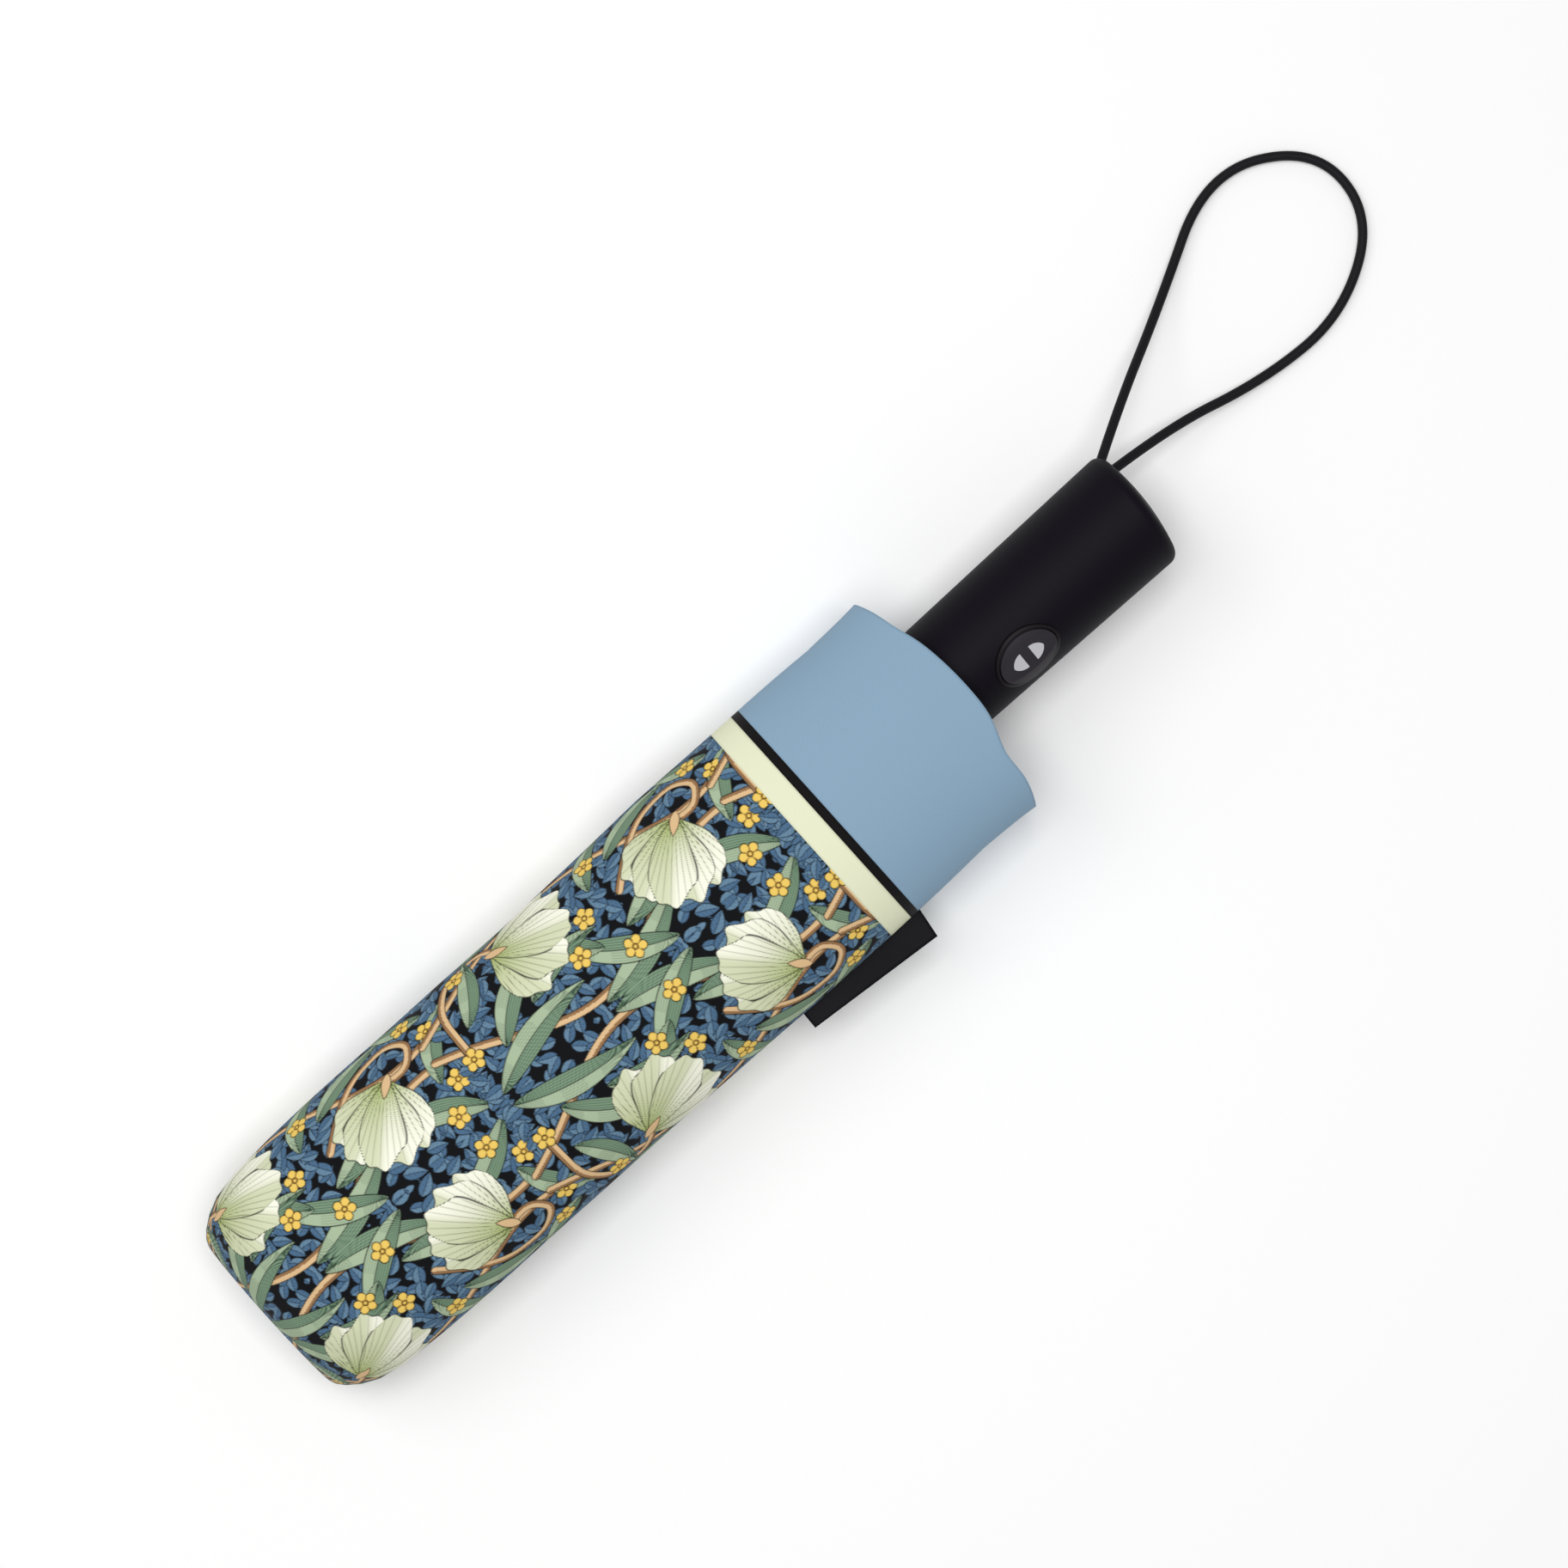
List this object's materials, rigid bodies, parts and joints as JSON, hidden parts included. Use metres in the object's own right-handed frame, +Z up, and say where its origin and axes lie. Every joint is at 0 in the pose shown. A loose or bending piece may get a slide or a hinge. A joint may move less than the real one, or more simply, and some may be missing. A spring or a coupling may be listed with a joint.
{
  "type": "folding umbrella",
  "caption": "Compact three-fold umbrella, closed, in a printed fabric sleeve with a blue collar, with a black push-button handle and a wrist loop.",
  "frame": {"origin": "on the floor under the middle of the closed umbrella, without its wrist loop", "axes": "+X along the shaft from the sleeve's closed end to the handle's end, +Z up"},
  "size_m": [0.396, 0.0962, 0.0487],
  "materials": {
    "soft_touch": "soft-touch black",
    "core_plastic": "moulded black",
    "button_black": "satin black",
    "button_grey": "satin dark grey",
    "arrow_silver": "matt silver",
    "steel": "plain",
    "shaft_steel": "bright",
    "rib_steel": "black",
    "rib_aluminium": "plain",
    "canopy_cloth": "black woven polyester",
    "printed_cloth": "printed woven polyester",
    "pale_cloth": "printed woven polyester",
    "black_cloth": "woven",
    "blue_cloth": "plain woven polyester",
    "cord_black": "round braided cord"
  },
  "bodies": {
    "handle": {"handle_grip": "soft_touch", "handle_core": "core_plastic", "loop_crimp": "steel", "tube_pin": "steel", "button_bezel": "button_black", "button_spring": "steel", "lower_tube": "shaft_steel", "main_spring": "steel", "wrist_loop": "cord_black"},
    "push_button": {"button": "button_grey", "button_arrows": "arrow_silver", "latch": "steel"},
    "middle_shaft": {"middle_tube": "shaft_steel"},
    "upper_shaft": {"upper_tube": "shaft_steel", "crown_notch": "core_plastic", "crown_cap": "core_plastic", "canopy": "canopy_cloth"},
    "sliding_runner": {"runner": "core_plastic"},
    "sleeve": {"sleeve_body": "printed_cloth", "sleeve_band": "pale_cloth", "sleeve_stripe": "black_cloth", "sleeve_collar": "blue_cloth", "side_label": "black_cloth"},
    "inner_1": {"inner_rib_1": "rib_steel"},
    "middle_1": {"middle_rib_1": "rib_steel"},
    "outer_1": {"outer_rib_1": "rib_aluminium"},
    "strut_1": {"stretcher_1": "rib_steel"},
    "inner_2": {"inner_rib_2": "rib_steel"},
    "middle_2": {"middle_rib_2": "rib_steel"},
    "outer_2": {"outer_rib_2": "rib_aluminium"},
    "strut_2": {"stretcher_2": "rib_steel"},
    "inner_3": {"inner_rib_3": "rib_steel"},
    "middle_3": {"middle_rib_3": "rib_steel"},
    "outer_3": {"outer_rib_3": "rib_aluminium"},
    "strut_3": {"stretcher_3": "rib_steel"},
    "inner_4": {"inner_rib_4": "rib_steel"},
    "middle_4": {"middle_rib_4": "rib_steel"},
    "outer_4": {"outer_rib_4": "rib_aluminium"},
    "strut_4": {"stretcher_4": "rib_steel"},
    "inner_5": {"inner_rib_5": "rib_steel"},
    "middle_5": {"middle_rib_5": "rib_steel"},
    "outer_5": {"outer_rib_5": "rib_aluminium"},
    "strut_5": {"stretcher_5": "rib_steel"},
    "inner_6": {"inner_rib_6": "rib_steel"},
    "middle_6": {"middle_rib_6": "rib_steel"},
    "outer_6": {"outer_rib_6": "rib_aluminium"},
    "strut_6": {"stretcher_6": "rib_steel"},
    "inner_7": {"inner_rib_7": "rib_steel"},
    "middle_7": {"middle_rib_7": "rib_steel"},
    "outer_7": {"outer_rib_7": "rib_aluminium"},
    "strut_7": {"stretcher_7": "rib_steel"},
    "inner_8": {"inner_rib_8": "rib_steel"},
    "middle_8": {"middle_rib_8": "rib_steel"},
    "outer_8": {"outer_rib_8": "rib_aluminium"},
    "strut_8": {"stretcher_8": "rib_steel"}
  },
  "joints": [
    {"name": "shaft_extend", "type": "slide", "parent": "handle", "child": "middle_shaft", "axis": [-1, 0, 0], "range_m": [0, 0.14], "deforming": ["canopy", "main_spring", "sleeve_body", "sleeve_band", "sleeve_stripe", "sleeve_collar", "side_label"]},
    {"name": "button_press", "type": "slide", "parent": "handle", "child": "push_button", "axis": [0, 0.6018, -0.7986], "range_m": [0, 0.002], "stiffness_N_per_m": 600, "deforming": ["button_spring"]},
    {"name": "upper_extend", "type": "slide", "parent": "middle_shaft", "child": "upper_shaft", "axis": [-1, 0, 0], "range_m": [0, 0.14]},
    {"name": "runner_slide", "type": "slide", "parent": "handle", "child": "sliding_runner", "axis": [-1, 0, 0], "range_m": [0, 0.3853]},
    {"name": "sleeve_off", "type": "slide", "parent": "upper_shaft", "child": "sleeve", "axis": [-1, 0, 0], "range_m": [0, 0.245]},
    {"name": "inner_fold_1", "type": "hinge", "parent": "upper_shaft", "child": "inner_1", "pos_m": [-0.135, 0.00915, 0.0345], "axis": [0, -1, 0], "range_deg": [0, 78]},
    {"name": "middle_fold_1", "type": "hinge", "parent": "inner_1", "child": "middle_1", "pos_m": [0.035, 0.00915, 0.0365], "axis": [0, 1, 0], "range_deg": [0, 192]},
    {"name": "outer_fold_1", "type": "hinge", "parent": "middle_1", "child": "outer_1", "pos_m": [-0.122, 0.00915, 0.0405], "axis": [0, -1, 0], "range_deg": [0, 164]},
    {"name": "stretcher_fold_1", "type": "hinge", "parent": "sliding_runner", "child": "strut_1", "pos_m": [0.06, 0.00915, 0.0345], "axis": [0, 1, 0], "range_deg": [0, 49.1]},
    {"name": "inner_fold_2", "type": "hinge", "parent": "upper_shaft", "child": "inner_2", "pos_m": [-0.135, 0.00243, 0.03172], "axis": [0, -0.7071, -0.7071], "range_deg": [0, 78]},
    {"name": "middle_fold_2", "type": "hinge", "parent": "inner_2", "child": "middle_2", "pos_m": [0.035, 0.00102, 0.03313], "axis": [0, 0.7071, 0.7071], "range_deg": [0, 192]},
    {"name": "outer_fold_2", "type": "hinge", "parent": "middle_2", "child": "outer_2", "pos_m": [-0.122, -0.00181, 0.03596], "axis": [0, -0.7071, -0.7071], "range_deg": [0, 164]},
    {"name": "stretcher_fold_2", "type": "hinge", "parent": "sliding_runner", "child": "strut_2", "pos_m": [0.06, 0.00243, 0.03172], "axis": [0, 0.7071, 0.7071], "range_deg": [0, 49.1]},
    {"name": "inner_fold_3", "type": "hinge", "parent": "upper_shaft", "child": "inner_3", "pos_m": [-0.135, -0.00035, 0.025], "axis": [0, 0, -1], "range_deg": [0, 78]},
    {"name": "middle_fold_3", "type": "hinge", "parent": "inner_3", "child": "middle_3", "pos_m": [0.035, -0.00235, 0.025], "axis": [0, 0, 1], "range_deg": [0, 192]},
    {"name": "outer_fold_3", "type": "hinge", "parent": "middle_3", "child": "outer_3", "pos_m": [-0.122, -0.00635, 0.025], "axis": [0, 0, -1], "range_deg": [0, 164]},
    {"name": "stretcher_fold_3", "type": "hinge", "parent": "sliding_runner", "child": "strut_3", "pos_m": [0.06, -0.00035, 0.025], "axis": [0, 0, 1], "range_deg": [0, 49.1]},
    {"name": "inner_fold_4", "type": "hinge", "parent": "upper_shaft", "child": "inner_4", "pos_m": [-0.135, 0.00243, 0.01828], "axis": [0, 0.7071, -0.7071], "range_deg": [0, 78]},
    {"name": "middle_fold_4", "type": "hinge", "parent": "inner_4", "child": "middle_4", "pos_m": [0.035, 0.00102, 0.01687], "axis": [0, -0.7071, 0.7071], "range_deg": [0, 192]},
    {"name": "outer_fold_4", "type": "hinge", "parent": "middle_4", "child": "outer_4", "pos_m": [-0.122, -0.00181, 0.01404], "axis": [0, 0.7071, -0.7071], "range_deg": [0, 164]},
    {"name": "stretcher_fold_4", "type": "hinge", "parent": "sliding_runner", "child": "strut_4", "pos_m": [0.06, 0.00243, 0.01828], "axis": [0, -0.7071, 0.7071], "range_deg": [0, 49.1]},
    {"name": "inner_fold_5", "type": "hinge", "parent": "upper_shaft", "child": "inner_5", "pos_m": [-0.135, 0.00915, 0.0155], "axis": [0, 1, 0], "range_deg": [0, 78]},
    {"name": "middle_fold_5", "type": "hinge", "parent": "inner_5", "child": "middle_5", "pos_m": [0.035, 0.00915, 0.0135], "axis": [0, -1, 0], "range_deg": [0, 192]},
    {"name": "outer_fold_5", "type": "hinge", "parent": "middle_5", "child": "outer_5", "pos_m": [-0.122, 0.00915, 0.0095], "axis": [0, 1, 0], "range_deg": [0, 164]},
    {"name": "stretcher_fold_5", "type": "hinge", "parent": "sliding_runner", "child": "strut_5", "pos_m": [0.06, 0.00915, 0.0155], "axis": [0, -1, 0], "range_deg": [0, 49.1]},
    {"name": "inner_fold_6", "type": "hinge", "parent": "upper_shaft", "child": "inner_6", "pos_m": [-0.135, 0.01587, 0.01828], "axis": [0, 0.7071, 0.7071], "range_deg": [0, 78]},
    {"name": "middle_fold_6", "type": "hinge", "parent": "inner_6", "child": "middle_6", "pos_m": [0.035, 0.01728, 0.01687], "axis": [0, -0.7071, -0.7071], "range_deg": [0, 192]},
    {"name": "outer_fold_6", "type": "hinge", "parent": "middle_6", "child": "outer_6", "pos_m": [-0.122, 0.02011, 0.01404], "axis": [0, 0.7071, 0.7071], "range_deg": [0, 164]},
    {"name": "stretcher_fold_6", "type": "hinge", "parent": "sliding_runner", "child": "strut_6", "pos_m": [0.06, 0.01587, 0.01828], "axis": [0, -0.7071, -0.7071], "range_deg": [0, 49.1]},
    {"name": "inner_fold_7", "type": "hinge", "parent": "upper_shaft", "child": "inner_7", "pos_m": [-0.135, 0.01865, 0.025], "axis": [0, 0, 1], "range_deg": [0, 78]},
    {"name": "middle_fold_7", "type": "hinge", "parent": "inner_7", "child": "middle_7", "pos_m": [0.035, 0.02065, 0.025], "axis": [0, 0, -1], "range_deg": [0, 192]},
    {"name": "outer_fold_7", "type": "hinge", "parent": "middle_7", "child": "outer_7", "pos_m": [-0.122, 0.02465, 0.025], "axis": [0, 0, 1], "range_deg": [0, 164]},
    {"name": "stretcher_fold_7", "type": "hinge", "parent": "sliding_runner", "child": "strut_7", "pos_m": [0.06, 0.01865, 0.025], "axis": [0, 0, -1], "range_deg": [0, 49.1]},
    {"name": "inner_fold_8", "type": "hinge", "parent": "upper_shaft", "child": "inner_8", "pos_m": [-0.135, 0.01587, 0.03172], "axis": [0, -0.7071, 0.7071], "range_deg": [0, 78]},
    {"name": "middle_fold_8", "type": "hinge", "parent": "inner_8", "child": "middle_8", "pos_m": [0.035, 0.01728, 0.03313], "axis": [0, 0.7071, -0.7071], "range_deg": [0, 192]},
    {"name": "outer_fold_8", "type": "hinge", "parent": "middle_8", "child": "outer_8", "pos_m": [-0.122, 0.02011, 0.03596], "axis": [0, -0.7071, 0.7071], "range_deg": [0, 164]},
    {"name": "stretcher_fold_8", "type": "hinge", "parent": "sliding_runner", "child": "strut_8", "pos_m": [0.06, 0.01587, 0.03172], "axis": [0, 0.7071, -0.7071], "range_deg": [0, 49.1]}
  ],
  "couplings": [
    {"joint": "upper_extend", "follows": "shaft_extend", "ratio": 1},
    {"joint": "runner_slide", "follows": "shaft_extend", "ratio": 2.7522},
    {"joint": "sleeve_off", "follows": "shaft_extend", "ratio": 1.75},
    {"joint": "inner_fold_1", "follows": "shaft_extend", "rad_per_m": 9.724},
    {"joint": "middle_fold_1", "follows": "shaft_extend", "rad_per_m": 23.936},
    {"joint": "outer_fold_1", "follows": "shaft_extend", "rad_per_m": 20.445},
    {"joint": "stretcher_fold_1", "follows": "shaft_extend", "rad_per_m": 6.121},
    {"joint": "inner_fold_2", "follows": "shaft_extend", "rad_per_m": 9.724},
    {"joint": "middle_fold_2", "follows": "shaft_extend", "rad_per_m": 23.936},
    {"joint": "outer_fold_2", "follows": "shaft_extend", "rad_per_m": 20.445},
    {"joint": "stretcher_fold_2", "follows": "shaft_extend", "rad_per_m": 6.121},
    {"joint": "inner_fold_3", "follows": "shaft_extend", "rad_per_m": 9.724},
    {"joint": "middle_fold_3", "follows": "shaft_extend", "rad_per_m": 23.936},
    {"joint": "outer_fold_3", "follows": "shaft_extend", "rad_per_m": 20.445},
    {"joint": "stretcher_fold_3", "follows": "shaft_extend", "rad_per_m": 6.121},
    {"joint": "inner_fold_4", "follows": "shaft_extend", "rad_per_m": 9.724},
    {"joint": "middle_fold_4", "follows": "shaft_extend", "rad_per_m": 23.936},
    {"joint": "outer_fold_4", "follows": "shaft_extend", "rad_per_m": 20.445},
    {"joint": "stretcher_fold_4", "follows": "shaft_extend", "rad_per_m": 6.121},
    {"joint": "inner_fold_5", "follows": "shaft_extend", "rad_per_m": 9.724},
    {"joint": "middle_fold_5", "follows": "shaft_extend", "rad_per_m": 23.936},
    {"joint": "outer_fold_5", "follows": "shaft_extend", "rad_per_m": 20.445},
    {"joint": "stretcher_fold_5", "follows": "shaft_extend", "rad_per_m": 6.121},
    {"joint": "inner_fold_6", "follows": "shaft_extend", "rad_per_m": 9.724},
    {"joint": "middle_fold_6", "follows": "shaft_extend", "rad_per_m": 23.936},
    {"joint": "outer_fold_6", "follows": "shaft_extend", "rad_per_m": 20.445},
    {"joint": "stretcher_fold_6", "follows": "shaft_extend", "rad_per_m": 6.121},
    {"joint": "inner_fold_7", "follows": "shaft_extend", "rad_per_m": 9.724},
    {"joint": "middle_fold_7", "follows": "shaft_extend", "rad_per_m": 23.936},
    {"joint": "outer_fold_7", "follows": "shaft_extend", "rad_per_m": 20.445},
    {"joint": "stretcher_fold_7", "follows": "shaft_extend", "rad_per_m": 6.121},
    {"joint": "inner_fold_8", "follows": "shaft_extend", "rad_per_m": 9.724},
    {"joint": "middle_fold_8", "follows": "shaft_extend", "rad_per_m": 23.936},
    {"joint": "outer_fold_8", "follows": "shaft_extend", "rad_per_m": 20.445},
    {"joint": "stretcher_fold_8", "follows": "shaft_extend", "rad_per_m": 6.121}
  ]
}
